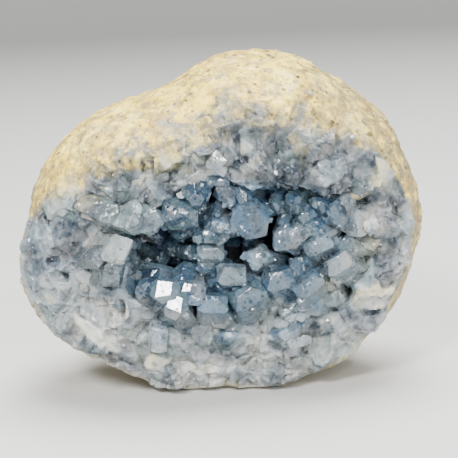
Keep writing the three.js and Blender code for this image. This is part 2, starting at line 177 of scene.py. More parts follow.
# Broken crystals of the wall that are large enough to be known one by one, with the slits and
# hollows between them: middle x and height, half width, half height, turn in degrees, tone from
# pale to dark, warmth, and how far it stands out. The slits and hollows are sunk and given the
# darkest tones, which is painted shade. Their outlines wander by up to WANDER, and are
# squarer the higher SQUARENESS is.
WANDER = 1.7
SQUARENESS = 2.6
WALL_FORMS = (
    (-40.4, 47.4, 4.7, 5.3, 0, 0.85, 0, -0.5), (-34.2, 49.6, 1.4, 3.3, -18, 0.1, 0, 0.5),
    (-36, 45, 1.3, 3, -30, 0.1, 0, 0.4), (-48, 48.5, 2.7, 4.2, 10, 0.3, 0, 0.4),
    (-44.5, 57.7, 5, 2.6, 10, 0.35, 0, 0.3), (-46.9, 54.2, 2.3, 0.9, -38, 0.95, 0, -1),
    (-33.9, 57.7, 5, 2.6, 20, 0.75, 0, 0), (-26.2, 54.7, 4, 2.3, 20, 0.65, -0.2, 0.6),
    (-33.3, 43.7, 2.3, 2.6, 0, 0.8, 0.3, -0.8), (-44.1, 38.3, 2.6, 1.2, 10, 1.3, 0, -2.5),
    (-47, 36.4, 3.4, 2.6, 0, 0.1, 0, 0.6), (-46.3, 31.4, 2.8, 2.3, 0, 0.2, 0.3, 0.5),
    (-35.8, 36.1, 4, 2.9, 0, 0.15, 0.3, 0.8), (-35.6, 20, 7.2, 2, -41, -0.3, 0.1, 1),
    (-34.9, 25.6, 3.4, 2.3, -30, 0.55, 0, 0), (-2.1, 72.5, 4.6, 2.6, -10, 0.8, 0.1, 0.4),
    (-12.9, 69.5, 3.1, 2.3, -15, -0.3, 0.2, 1.2), (-21.7, 67.7, 1.7, 2.3, 0, 0.8, 0, -0.4),
    (-11.2, 66.8, 2.3, 1.2, 30, 1.1, 0, -1), (2.3, 72.3, 2.3, 3.4, 0, 0.6, 0, 0.5),
    (5.1, 74.8, 1.2, 1.7, 0, 1, 0, -0.8), (8.2, 71.8, 1.8, 1.6, 20, 0.2, 0.4, 0.5),
    (10.2, 69.3, 1.6, 2, 0, 0.3, 0.3, 0.5), (29.6, 64, 2.9, 2.6, -10, 0.3, -0.2, 0.5),
    (38.9, 67.9, 4, 2.9, -15, 0.7, 0, 0), (45.3, 64.7, 1.7, 2.3, 0, 0.1, 0.7, 0.3),
    (49.9, 57.2, 2, 1.4, -40, 0.8, 0.2, -0.5), (44.7, 55.4, 3.4, 2.6, -30, 0.55, 0, -0.4),
    (37.6, 55.6, 1.4, 1.4, 0, 0.1, 0.8, 0.1), (38.6, 48.8, 2.3, 1.7, 30, 0, 0.5, 0.6),
    (29.9, 51.6, 1.2, 2, 10, -0.2, 0, 0.6), (41.3, 40.8, 6.3, 3.1, 0, 0.75, -0.2, 0.4),
    (39.4, 36.9, 2.3, 1.2, 0, 0, 0, 0.8), (39.6, 33.6, 3.4, 2, 0, 0.5, 0, 0.2),
    (41.3, 29.4, 4, 2, 0, 0, 0.7, 0.4), (46.2, 28.5, 1.2, 1.4, 0, -0.2, 0.9, 0.5),
    (41.3, 26.4, 5.1, 2.6, 0, 0.1, 0.4, 0.9), (41.2, 22.3, 2.3, 0.9, 10, 0.9, 0, -0.8),
    (46.2, 32.3, 2.3, 1.7, 30, 0.85, 0, -0.4), (32.5, 33.2, 1.7, 2.9, 0, 0.9, 0, -0.8),
    (37.4, 20.4, 3.4, 2.3, -40, 0.45, 0, 0.3), (33.1, 15.5, 3.4, 2.3, 20, 0.05, 0.1, 0.3),
    (-24.9, 26.8, 2.5, 4.6, 10, 0.6, 0, 0.9), (-26.6, 27.1, 0.8, 2.6, -15, -0.2, 0, 1.1),
    (-0.4, 22.5, 3.1, 2, -20, -0.2, 0.3, 0.8), (-11.7, 22.6, 3.4, 2, 0, 1.1, -0.2, -1),
    (-1.8, 16.4, 3.1, 2.9, 0, 0.85, 0, -0.3), (-19.6, 10.1, 2.6, 2, 20, 0, 0.5, 0.4),
    (4.3, 14, 4.6, 2, 15, 0.75, 0, -0.3), (27.1, 18.2, 3.4, 2.6, 0, 0.75, 0, 0),
    (25.5, 19.4, 1.4, 0.9, 20, 1.1, 0, -1), (-7.1, 7.9, 4.6, 1.7, 0, -0.1, 0.5, 0.2),
)
# The crystals' shapes: planes that cut a block, each by its direction and its distance from the
# block's middle. The block is one unit wide, thick and long, and the crystal's end is at its top.
CORNERS = ((1, 1, 0, 0.62), (-1, 1, 0, 0.6), (1, -1, 0, 0.64), (-1, -1, 0, 0.58))
SIX_SIDES = ((1, 1.73, 0, 0.44), (-1, 1.73, 0, 0.45), (1, -1.73, 0, 0.44), (-1, -1.73, 0, 0.43))
FLAT_SIDES = ((1.73, 1, 0, 0.44), (-1.73, 1, 0, 0.45), (1.73, -1, 0, 0.47), (-1.73, -1, 0, 0.43))
CRYSTAL_SHAPES = {
    "roof": (*CORNERS, (0, 1, 1, 0.42), (0.1, -1, 1, 0.46), (1, 0, 1, 0.58), (-1, 0, 1.2, 0.54)),
    "hexagon": (*SIX_SIDES, (1, 0, 1.4, 0.55), (-1, 0, 1.2, 0.53), (0, 1, 1.1, 0.56), (0.3, -1, 1.3, 0.54)),
    "plate": (*FLAT_SIDES, (1, 0, 1.4, 0.62), (-1, 0, 1.2, 0.6), (0, 1, 1.3, 0.6), (0.3, -1, 1.3, 0.6)),
    "block": (*CORNERS, (1, 0.2, 1, 0.6), (0, 1, 1, 0.62), (-1, -0.6, 1, 0.62), (0.4, -1, 0.9, 0.6)),
    "wedge": (*CORNERS, (0.2, 1, 0.7, 0.4), (0.1, -1, 1.5, 0.44), (1, 0, 1.2, 0.52), (-1, 0.2, 0.8, 0.5)),
    "spear": (*SIX_SIDES, (1, 0, 0.8, 0.42), (-1, 0, 0.7, 0.43), (0, 1, 1, 0.44), (0, -1, 0.9, 0.45)),
    "slab": (*CORNERS, (1, 0, 1, 0.52), (-1, 0, 0.6, 0.5), (0.5, -1, 1.6, 0.55)),
}
DRUSE_SHAPE = (*CORNERS[:2], (1, 0.3, 1, 0.5), (-1, -0.2, 0.9, 0.48))

# Shares of a block's length: its root ends at the first, and its outer end begins at the second.
# An end that doesn't lean is polished this far.
ROOT_PART, END_PART = 0.12, 0.9
POLISH = 0.9

# The crowd of crystals fills the opening up to this share of its half sizes, and is this deep in
# its middle. The crystals behind it keep within a reach of an x, so that none shows in the wall.
CROWD_REACH = 1.18
CROWD_DEPTH = 7
BACK_MIDDLE, BACK_REACH = 4, 30

RAYS_FROM = -80  # in front of the whole nodule
TO_CAMERA = Vector((0, -1, 0.18))

# The camera, seen from the nodule.
CAMERA_DISTANCE = 452
CAMERA_ELEVATION = math.radians(10.5)
CAMERA_ROLL = math.radians(2.5)
CAMERA_AIM = (2.6, 0, -3.3)
SENSOR_WIDTH = 36
LENS = 123.7

# The floor is flat out to here and then curves up, in metres.
FLOOR_RADIUS = 1.7
COVE_RADIUS = 0.7
COVE_STEPS = 8


def linear(code):
    """The linear colour of an sRGB hex code such as "#8fa9bd"."""
    def channel(value):
        return value / 12.92 if value <= 0.04045 else ((value + 0.055) / 1.055) ** 2.4
    return (*(channel(int(code[i:i + 2], 16) / 255) for i in (1, 3, 5)), 1.0)


def colour_setting(name, code, description):
    return FloatVectorProperty(
        name=name, description=description, subtype="COLOR", size=4, min=0, max=1, default=linear(code)
    )


def length_setting(name, millimetres, description):
    return FloatProperty(
        name=name, description=description, default=millimetres * MM, min=0, subtype="DISTANCE", unit="LENGTH"
    )


class StoneSettings(bpy.types.PropertyGroup):
    cell: length_setting("Fineness", 1.6, "Size of the mesh cells that the stone is built from")
    lump: length_setting("Lumps", 0.9, "Height of the lumps of the rind")
    grain: length_setting("Grains", 0.22, "Height of the grains of the rind and wall")
    pit: length_setting("Pits", 1.1, "Depth of the pits in the rind")
    skin: colour_setting("Skin", "#f1cd45", "Weathered outside of the rind")
    cream: colour_setting("Rind", "#fbdb68", "Rind where it is broken")
    buff: colour_setting("Stains", "#cdb848", "Iron stains in the rind")
    base: colour_setting("Low rind", "#908264", "Rind low down, which is less stained")


class CrystalSettings(bpy.types.PropertyGroup):
    gap: length_setting("Spacing", 3.3, "Least distance between the smaller crystals of the hollow")
    face_count: IntProperty(
        name="Face crystals", description="Broken crystals over the front face", default=9, min=0
    )
    druse_count: IntProperty(
        name="Druse", description="Tiny crystals over the hollow's large ones", default=900, min=0
    )
    light: colour_setting("Light celestite", "#8a8f8d", "The wall's lightest crystals")
    grey: colour_setting("Grey celestite", "#525b60", "Most of the wall")
    slate: colour_setting("Slate celestite", "#242e36", "The wall's darkest crystals")
    pale: colour_setting("Pale blue", "#9db0bd", "The hollow's lightest crystals")
    blue: colour_setting("Blue", "#6a8ba4", "Most of the hollow's crystals")
    deep: colour_setting("Deep blue", "#33516a", "The hollow's darkest crystals")


class StageSettings(bpy.types.PropertyGroup):
    floor: colour_setting("Floor", "#c2c2bf", "Plain pale floor")
    key: FloatProperty(
        name="Key light", description="Power of the main soft light", default=27.5, unit="POWER"
    )
    glint: FloatProperty(
        name="Glint light", description="Power of the small light that makes facets flash", default=4.5,
        unit="POWER",
    )


# ------------------------------------------------------------------ places
def place(x, y, height):
    """A point measured from the nodule's middle, with its height from the ground, in metres."""
    return Vector((x + NODULE_MIDDLE[0], y + NODULE_MIDDLE[1], height)) * MM


def measured(points):
    """Each point's x and y from the nodule's middle and its height, in millimetres."""
    return (points / MM - (*NODULE_MIDDLE[:2], 0)).T


def hollow_share(points):
    """How far each point lies from the hollow's middle, as a share of the hollow's half sizes."""
    middle = (np.array(HOLLOW_MIDDLE) + NODULE_MIDDLE) * MM
    return np.linalg.norm((points - middle) / (np.array(HOLLOW_HALF) * MM), axis=1)


def blueness(points, outer, inner):
    """How blue and clear the celestite is: most in the hollow, between two shares of its size, and
    less at its right end and in what hangs over it on the left."""
    x, y, _ = (points / MM - NODULE_MIDDLE).T
    blue = smooth_step(outer, inner, hollow_share(points)) * (1 - 0.7 * smooth_step(25, 36, x))
    return blue * (1 - 0.7 * smooth_step(-29, -33, y) * smooth_step(0, -14, x))


def behind_face(points):
    """How far behind the broken face each point lies, in millimetres along its line from the
    middle."""
    from_middle = points / MM - NODULE_MIDDLE
    reach = np.linalg.norm(from_middle, axis=1)
    direction = from_middle / reach[:, None]
    ahead = np.maximum(-direction[:, 1], 0.02)
    return (FACE_AT_RIM + FACE_LEAN * direction[:, 2] + FACE_BULGE * ahead ** 2) / ahead - reach


def face_depth(x, height):
    """Where the broken face lies behind a place on the front, measured from the middle."""
    up, depth = height - NODULE_MIDDLE[2], -30
    for _ in range(6):
        reach = math.hypot(x, depth, up)
        depth = -(FACE_AT_RIM + FACE_LEAN * up / reach + FACE_BULGE * (depth / reach) ** 2)
    return depth


def polar(points):
    """Each point's angle from +X towards +Z round the nodule's middle, and its distance, as seen
    from the front, in millimetres."""
    x, z = (points / MM - NODULE_MIDDLE)[:, [0, 2]].T
    return np.degrees(np.arctan2(z, x)) % 360, np.hypot(x, z)


def outline():
    """The nodule's outline seen from the front: angles, and how far it reaches at each."""
    angle, reach = polar(coordinates(STONE))
    stops = np.arange(0, 361, 6)
    return stops, [reach[np.abs((angle - stop + 180) % 360 - 180) < 5].max() for stop in stops]


def below_rim(points):
    """How far inside the nodule's outline each point lies as seen from the front, in millimetres."""
    angle, reach = polar(points)
    return np.interp(angle, *OUTLINE) - reach


def near_line(points, line):
    """How far points lie from a line of x and height places, seen from the front."""
    where = measured(points)[[0, 2]].T
    least = np.full(len(points), 1e3)
    for start, end in zip(np.array(line), np.array(line)[1:]):
        along = np.clip((where - start) @ (end - start) / ((end - start) ** 2).sum(), 0, 1)
        least = np.minimum(least, np.linalg.norm(where - start - along[:, None] * (end - start), axis=1))
    return least


def smooth_step(low, high, values):
    share = np.clip((values - low) / (high - low), 0, 1)
    return share * share * (3 - 2 * share)


def coordinates(piece):
    flat = np.empty(len(piece.data.vertices) * 3)
    piece.data.vertices.foreach_get("co", flat)
    return flat.reshape(-1, 3)


def set_coordinates(piece, points):
    piece.data.vertices.foreach_set("co", points.ravel())
    piece.data.update()


def vertex_normals(piece):
    flat = np.empty(len(piece.data.vertices) * 3)
    piece.data.vertices.foreach_get("normal", flat)
    return flat.reshape(-1, 3)


def surface_points(piece, count, rng):
    """Points spread evenly over a piece's surface, with its normal at each."""
    piece.data.calc_loop_triangles()
    corners = coordinates(piece)[np.array([t.vertices[:] for t in piece.data.loop_triangles])]
    sides = corners[:, 1:] - corners[:, :1]
    normals = np.cross(sides[:, 0], sides[:, 1])
    area = np.linalg.norm(normals, axis=1)
    chosen = rng.choice(len(area), count, p=area / area.sum())
    share = rng.random((count, 2))
    share[share.sum(1) > 1] = 1 - share[share.sum(1) > 1]
    points = corners[chosen, 0] + (share[:, :, None] * sides[chosen]).sum(1)
    return points, normals[chosen] / area[chosen, None]


def thinned(points, gaps):
    """The numbers of those points that keep their distance from the ones kept before them."""
    kept = []
    for number, (point, gap) in enumerate(zip(points, gaps)):
        if not kept or np.linalg.norm(points[kept] - point, axis=1).min() > gap:
            kept.append(number)
    return kept


def cells(points, size, seed):
    """Divides space into uneven cells, as crystals do that grew until they met.

    Returns the middle of each point's cell, four random numbers of that cell, and how far the
    point is from the cell's border, as a share of its size."""
    rng = np.random.default_rng(seed)
    where = points / size
    low = np.floor(where.min(0)).astype(int) - 1
    count = np.floor(where.max(0)).astype(int) + 2 - low
    middles = np.moveaxis(np.indices(count), 0, -1) + low + rng.random((*count, 3))
    traits = rng.random((*count, 4))
    home = np.floor(where).astype(int) - low
    nearest = np.full(len(points), 9.0)
    second = nearest.copy()
    cell = home.copy()
    for step in np.ndindex(3, 3, 3):
        here = np.clip(home + step - np.array((1, 1, 1)), 0, count - 1)
        distance = np.linalg.norm(middles[tuple(here.T)] - where, axis=1)
        closer = distance < nearest
        second = np.where(closer, nearest, np.minimum(second, distance))
        nearest = np.where(closer, distance, nearest)
        cell[closer] = here[closer]
    cell = tuple(cell.T)
    return middles[cell] * size, traits[cell], second - nearest


def rind_share(points):
    """How much of the stone is rind at each point: all of it behind the face, none in the hollow."""
    height, hollow = points[:, 2] / MM, hollow_share(points)
    behind, from_rim = behind_face(points), below_rim(points)
    left = smooth_step(10, -30, points[:, 0] / MM)
    # Low down the rind starts well behind the rim, and on top it runs onto the face.
    start = 0.5 + 15 * smooth_step(74 - 8 * left, 50 - 2 * left, height)
    start += 20 * smooth_step(64, 48, height) * left
    on_top = np.clip((height - 48) / 45, 0, 1)
    over = smooth_step(2.6, 0, from_rim / (3 + 14 * on_top))
    over *= smooth_step(70 - 20 * left, 85 - 19 * left, height)
    narrow = smooth_step(5, 2.5, from_rim) * smooth_step(24, 46, height) * (1 - left)
    rind = np.maximum(smooth_step(start, start + 7, behind), np.maximum(over, narrow))
    rind *= 1 - smooth_step(1.24, 0.92, hollow)
    return rind * (1 - smooth_step(1, 4, behind) * smooth_step(1.25, 1.15, hollow))


def tints_and_shade(points):
    """How much the stains, tints and painted shade darken and warm the stone at each point."""
    x, _, height = measured(points)
    total = np.zeros((2, len(points)))
    for at_x, at_height, radius, tone, warmth in TINTS_AND_SHADE:
        near = np.exp(-((x - at_x) ** 2 + (height - at_height) ** 2) / radius ** 2)
        total += near * np.array([[tone], [warmth]])
    return total * (points[:, 1] < 0)


def wall_forms(points, tone, warm):
    """The wall's tone and warmth with its known forms laid over them, how far each form moves the
    wall, and how much of each point lies in a form."""
    noise.seed_set(3)  # the clock would seed noise_vector otherwise
    wander = np.array([noise.noise_vector(Vector(point) / (4 * MM)) for point in points])
    x, _, height = measured(points) + WANDER * wander.T
    rng = np.random.default_rng(2)
    rise, share = np.zeros(len(points)), np.zeros(len(points))
    for at_x, at_height, half_width, half_height, turn, form_tone, warmth, out in WALL_FORMS:
        cosine, sine = math.cos(math.radians(turn)), math.sin(math.radians(turn))
        across = ((x - at_x) * cosine + (height - at_height) * sine) / half_width
        along = ((height - at_height) * cosine - (x - at_x) * sine) / half_height
        reach = (np.abs(across) ** SQUARENESS + np.abs(along) ** SQUARENESS) ** (1 / SQUARENESS)
        near = smooth_step(1.35, 0.8, reach) * (points[:, 1] < 0)
        slopes = rng.uniform(-0.5, 0.5, 2)
        rise += near * (out + slopes[0] * across + slopes[1] * along)
        tone = tone + (form_tone + 0.25 * (tone - 0.5) - tone) * near  # keeps some of its facets
        warm = warm + (warmth - warm) * near
        share = np.maximum(share, near)
    return tone, warm, rise, share


OUTLINE = outline()


# ------------------------------------------------------------------ modelling helpers
def activate(piece):
    bpy.ops.object.select_all(action="DESELECT")
    piece.select_set(True)
    bpy.context.view_layer.objects.active = piece


def apply_modifier(piece, kind, **settings):
    activate(piece)
    modifier = piece.modifiers.new(kind.title(), kind)
    for name, value in settings.items():
        setattr(modifier, name, value)
    bpy.ops.object.modifier_apply(modifier=modifier.name)


def paint(piece, name, values):
    """Stores one number for each vertex, for the materials to read."""
    attribute = piece.data.attributes.new(name, "FLOAT", "POINT")
    attribute.data.foreach_set("value", np.asarray(values, np.float32))


def weigh(piece, name, weights, levels=20):
    """Stores the same in a vertex group, for the modifiers to read, at so many levels."""
    group = piece.vertex_groups.new(name=name)
    nearest = np.round(np.asarray(weights) * levels).astype(int)
    for level in range(1, levels + 1):
        group.add(np.flatnonzero(nearest == level).tolist(), level / levels, "REPLACE")


def settle(piece, slot, *replaced):
    """Makes a finished piece ride on the part and stand for the solids that it covers."""
    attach(piece, "root")
    if replaced:
        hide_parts(*replaced)


def remove(pieces):
    for piece in pieces:
        bpy.data.meshes.remove(piece.data)


def shaken(rng, direction, most):
    return (direction + Vector([rng.uniform(-most, most) for _ in range(3)])).normalized()


# ------------------------------------------------------------------ crystals
def crystal_blank(name, cuts, edge):
    """A crystal one unit wide, thick and long, its root at z = 0, to be copied and stretched."""
    bpy.ops.object.select_all(action="DESELECT")
    bpy.ops.mesh.primitive_cube_add(size=1, location=(0, 0, 0.5))
    blank = bpy.context.object
    blank.name = name
    bpy.ops.object.transform_apply(location=True, rotation=False, scale=False)
    bpy.ops.object.mode_set(mode="EDIT")
    for *direction, reach in cuts:
        direction = Vector(direction).normalized()
        bpy.ops.mesh.select_all(action="SELECT")
        bpy.ops.mesh.bisect(
            plane_co=direction * reach + Vector((0, 0, 0.5)), plane_no=direction, use_fill=True,
            clear_outer=True,
        )
    bpy.ops.object.mode_set(mode="OBJECT")
    if edge:
        apply_modifier(blank, "BEVEL", width=edge, segments=1, limit_method="ANGLE", angle_limit=0.25)
    return blank


def crystal_copy(blank, root, tip, width, thickness, facing, rng, tone, lean=1.0):
    """A copy of a blank from a root to a tip, with its own mesh. Its broad side faces as given."""
    axis = (tip - root).normalized()
    across = axis.cross(facing).normalized()
    turn = np.array(Matrix((across, axis.cross(across), axis)))
    points = coordinates(blank)
    end = points[:, 2] > ROOT_PART
    # The end leans a little, so that no two copies have it at the same slope.
    slope = lean * rng.uniform(-0.3, 0.3), lean * rng.uniform(-0.25, 0.25)
    points[end, 2] += points[end, :2] @ slope
    points *= (width, thickness, width)
    points[end, 2] += (tip - root).length - width
    copy = bpy.data.objects.new(blank.name + ".copy", blank.data.copy())
    bpy.context.collection.objects.link(copy)
    set_coordinates(copy, points @ turn + np.array(root))
    paint(copy, "tone", np.full(len(points), tone))
    return copy


def growing_places(count, widths, fits, gap, spread):
    """Places all over the stone where crystals grow, each with the normal and a crystal's width.
    Each keeps so many of its own widths away from the ones before it."""
    points, normals = surface_points(STONE, count, spread)
    widths = spread.triangular(*widths, len(points)) * MM
    fit = fits(points, normals)
    points, normals, widths = points[fit], normals[fit], widths[fit]
    kept = thinned(points, widths * gap)
    return [(Vector(points[number]), Vector(normals[number]), widths[number]) for number in kept]


def grown_crystal(blanks, point, axis, depth, rise, width, facing, rng):
    """A crystal of any shape that comes from some depth below a point and stands out of it by
    something between two shares of its width. Facing is a direction and how far it may turn."""
    return crystal_copy(
        rng.choice(list(blanks.values())), point - axis * depth * MM,
        point + axis * width * rng.uniform(*rise), width, width * rng.uniform(0.6, 0.95),
        shaken(rng, *facing), rng, rng.uniform(0, 0.5),
    )


def fuse(copies, name, material):
    """Joins copies into one piece with its origin at the frame's."""
    bpy.ops.object.select_all(action="DESELECT")
    for copy in copies:
        copy.select_set(True)
    bpy.context.view_layer.objects.active = copies[0]
    bpy.ops.object.join()
    piece = bpy.context.object
    piece.name = piece.data.name = name
    piece.data.materials.clear()
    piece.data.materials.append(material)
    return piece


# ------------------------------------------------------------------ materials
def add_node(tree, kind, inputs=None, **settings):
    """Adds a shader node with its settings. An input is a value, a socket, or a node whose first
    working output is used."""
    made = tree.nodes.new("ShaderNode" + kind)
    for name, value in settings.items():
        setattr(made, name, value)
    for key, value in (inputs or {}).items():
        if isinstance(value, bpy.types.Node):
            value = next(socket for socket in value.outputs if socket.enabled)
        if isinstance(value, bpy.types.NodeSocket):
            tree.links.new(value, made.inputs[key])
        else:
            made.inputs[key].default_value = value
    return made


def new_material(name):
    material = bpy.data.materials.new(name)
    material.use_nodes = True
    tree = material.node_tree
    tree.nodes.clear()
    return material, tree


def per_metre(millimetres):
    """The texture scale that gives a pattern of that size."""
    return 1 / (millimetres * MM)


def laid_over(tree, base, layers):
    """A colour with others laid over it. Each layer is a pattern, the values at which it begins
    and is whole, how much it covers there, and its colour or hex code."""
    for pattern, begins, whole, most, colour in layers:
        ramp = {"Value": pattern, "From Min": begins, "From Max": whole, "To Max": most}
        share = add_node(tree, "MapRange", ramp)
        colour = linear(colour) if isinstance(colour, str) else colour
        base = add_node(tree, "Mix", {0: share, 6: base, 7: colour}, data_type="RGBA")
    return base


def facets(tree, where, size, tilt, sparkling):
    """The surface's normal, tipped a different way in each cell of a fine pattern, as the faces
    of sugary crystals are, and much further in a share of them, which sparkle. Returns it with a
    random number for each cell."""
    cell = add_node(tree, "TexVoronoi", {"Vector": where, "Scale": per_metre(size)})
    way = add_node(tree, "VectorMath", {0: cell.outputs["Color"], 1: (0.5, 0.5, 0.5)}, operation="SUBTRACT")
    share = add_node(tree, "SeparateColor", {0: cell.outputs["Color"]})
    steep = add_node(tree, "Math", {0: share, 1: 1 - sparkling}, operation="GREATER_THAN")
    amount = add_node(tree, "Math", {0: steep, 1: 1.1 - tilt, 2: tilt}, operation="MULTIPLY_ADD")
    tipped = add_node(tree, "VectorMath", {0: way, 3: amount}, operation="SCALE")
    straight = add_node(tree, "NewGeometry").outputs["Normal"]
    total = add_node(tree, "VectorMath", {0: straight, 1: tipped}, operation="ADD")
    normal = add_node(tree, "VectorMath", {0: total}, operation="NORMALIZE")
    return normal, share


def grown_colour(tree, where, settings, mottle, fine):
    """The colour of the grown celestite. The wall and the crystals share it, so that one runs
    into the other: grey and granular outside, blue and clearer in the hollow."""
    tone, inside = (
        add_node(tree, "Attribute", attribute_name=name).outputs["Fac"] for name in ("tone", "inside")
    )
    cloud = add_node(
        tree, "MapRange", {"Value": mottle, "From Min": 0.3, "From Max": 0.7, "To Min": -0.3, "To Max": 0.3}
    )
    shade = add_node(tree, "Math", {0: tone, 1: cloud}, operation="ADD", use_clamp=True)
    outer, inner = (
        laid_over(tree, light, ((shade, 0, 0.5, 1, middle), (shade, 0.5, 1, 1, dark)))
        for light, middle, dark in (
            (settings.light, settings.grey, settings.slate), (settings.pale, settings.blue, settings.deep),
        )
    )
    body = add_node(tree, "Mix", {0: inside, 6: outer, 7: inner}, data_type="RGBA")
    cast = add_node(
        tree, "TexNoise", {"Vector": where, "Scale": per_metre(11), "Detail": 1, "Distortion": 0.6}
    )
    return laid_over(tree, body, (
        (cast, 0.54, 0.66, 0.3, "#7c918c"),
        (cast, 0.46, 0.34, 0.3, "#a39c91"),
        (fine, 0.54, 0.7, 0.25, "#b3b9bb"),
    ))


def stone_material(settings, crystals):
    """Chalky marl rind over massive granular celestite, broken and unpolished: matt and uneven,
    with the flat faces of single grains that flash where they meet the light."""
    material, tree = new_material("marl_rind_and_massive_celestite")
    where = add_node(tree, "TexCoord").outputs["Object"]
    rind, grain, edge, warm, tone, skin, low_down = (
        add_node(tree, "Attribute", attribute_name=name).outputs["Fac"]
        for name in ("rind", "grain", "edge", "warm", "tone", "skin", "low")
    )
    broad, mottle, soft, patch, fine, specks = (
        add_node(
            tree, "TexNoise",
            {"Vector": where, "Scale": per_metre(size), "Detail": detail, "Roughness": 0.6},
        )
        for size, detail in ((16, 4), (5, 4), (7, 0), (3, 1.5), (1.3, 3), (0.7, 2))
    )
    # The border of the rind wanders, and islands of each lie in the other.
    wander = add_node(
        tree, "MapRange", {"Value": mottle, "From Min": 0.3, "From Max": 0.7, "To Min": -1, "To Max": 1}
    )
    scatter = add_node(tree, "Math", {0: grain, 1: 0.35, 2: wander}, operation="MULTIPLY_ADD")
    border = add_node(tree, "Math", {0: rind, 1: 1.5, 2: scatter}, operation="MULTIPLY_ADD")
    ramp = add_node(tree, "MapRange", {"Value": border, "From Min": 0.2, "From Max": 1.7})
    there = add_node(tree, "MapRange", {"Value": rind, "From Min": 0, "From Max": 0.2})
    rind_here = add_node(tree, "Math", {0: ramp, 1: there}, operation="MULTIPLY")

    # Dark dots near the middles of small cells stand for pits: painted shade in the pits.
    pits = add_node(tree, "TexVoronoi", {"Vector": where, "Scale": per_metre(3.6)})
    pitted = add_node(
        tree, "Math", {0: broad, 1: -0.45, 2: pits.outputs["Distance"]}, operation="MULTIPLY_ADD"
    )
    cream = laid_over(tree, settings.cream, (
        (skin, 0, 1, 1, settings.skin),
        (broad, 0.42, 0.62, 0.7, settings.buff),
        (low_down, 0, 1, 1, settings.base),
        (broad, 0.51, 0.38, 0.8, "#94885f"),
        (mottle, 0.47, 0.34, 0.75, "#99917a"),
        (soft, 0.5, 0.28, 0.85, "#a38a4e"),
        (soft, 0.56, 0.72, 0.5, "#fbe68c"),
        (patch, 0.52, 0.66, 0.8, "#fadc6c"),
        (patch, 0.45, 0.35, 0.8, "#8b8360"),
        (fine, 0.45, 0.3, 0.9, "#7d6c44"),
        (specks, 0.6, 0.72, 0.8, "#fbe690"),
        (specks, 0.37, 0.3, 0.9, "#3b3325"),
        (pitted, -0.02, -0.12, 0.85, "#3f382a"),
        (low_down, 0.2, 1, 0.3, "#6a5e45"),
    ))

    stain = add_node(tree, "Math", {0: wander, 1: 0.35, 2: warm}, operation="MULTIPLY_ADD")
    wall = laid_over(tree, grown_colour(tree, where, crystals, soft, fine), (
        (broad, 0.5, 0.36, 0.35, "#2b343a"),
        (patch, 0.5, 0.7, 0.25, "#9b9d9a"),
        (patch, 0.46, 0.3, 0.25, "#283137"),
        (stain, 0.3, 1.1, 0.8, "#d8c88c"),
        (broad, 0.56, 0.68, 0.35, "#908c7c"),
        # The cells' borders are lighter: partly frosted edges, partly a painted highlight.
        (edge, 0.2, 1, 0.2, "#abadb8"),
        (tone, 0.1, -0.35, 0.75, "#cbc9bf"),
        (grain, 0.8, 0.95, 0.2, "#bdbcb6"),
        (rind, 0, 0.5, 0.7, "#67665a"),
    ))
    # The darkest crystals are the clearest, and swallow what lies on the others.
    deep = add_node(tree, "MapRange", {"Value": tone, "From Min": 0.5, "From Max": 1.1, "To Max": 0.85})
    wall = add_node(
        tree, "Mix", {0: deep, 6: wall, 7: linear("#7c8994")}, data_type="RGBA", blend_type="MULTIPLY"
    )
    base = add_node(tree, "Mix", {0: rind_here, 6: wall, 7: cream}, data_type="RGBA")

    normal, share = facets(tree, where, size=1.1, tilt=0.16, sparkling=0.2)
    flash = add_node(
        tree, "MapRange", {"Value": share, "From Min": 0.6, "From Max": 0.8, "To Min": 0.5, "To Max": 0.14}
    )
    chalk = add_node(tree, "MapRange", {"Value": rind_here, "To Min": 0.1, "To Max": 0.5})
    rough = add_node(tree, "Math", {0: flash, 1: chalk}, operation="MAXIMUM")
    relief = add_node(tree, "Math", {0: fine, 1: specks}, operation="ADD")
    bump = add_node(
        tree, "Bump", {"Height": relief, "Strength": 0.3, "Distance": 0.25 * MM, "Normal": normal}
    )
    # Light goes a little way into the grains of the wall, but not into the chalky rind.
    milky = add_node(tree, "MapRange", {"Value": rind_here, "To Min": 0.6, "To Max": 0})
    shader = add_node(
        tree, "BsdfPrincipled",
        {
            "Base Color": base, "Roughness": rough, "IOR": 1.6, "Specular IOR Level": 0.25,
            "Normal": bump, "Subsurface Weight": milky, "Subsurface Radius": (1, 1.1, 1.25),
            "Subsurface Scale": 2.5 * MM,
        },
    )
    add_node(tree, "OutputMaterial", {"Surface": shader})
    return material


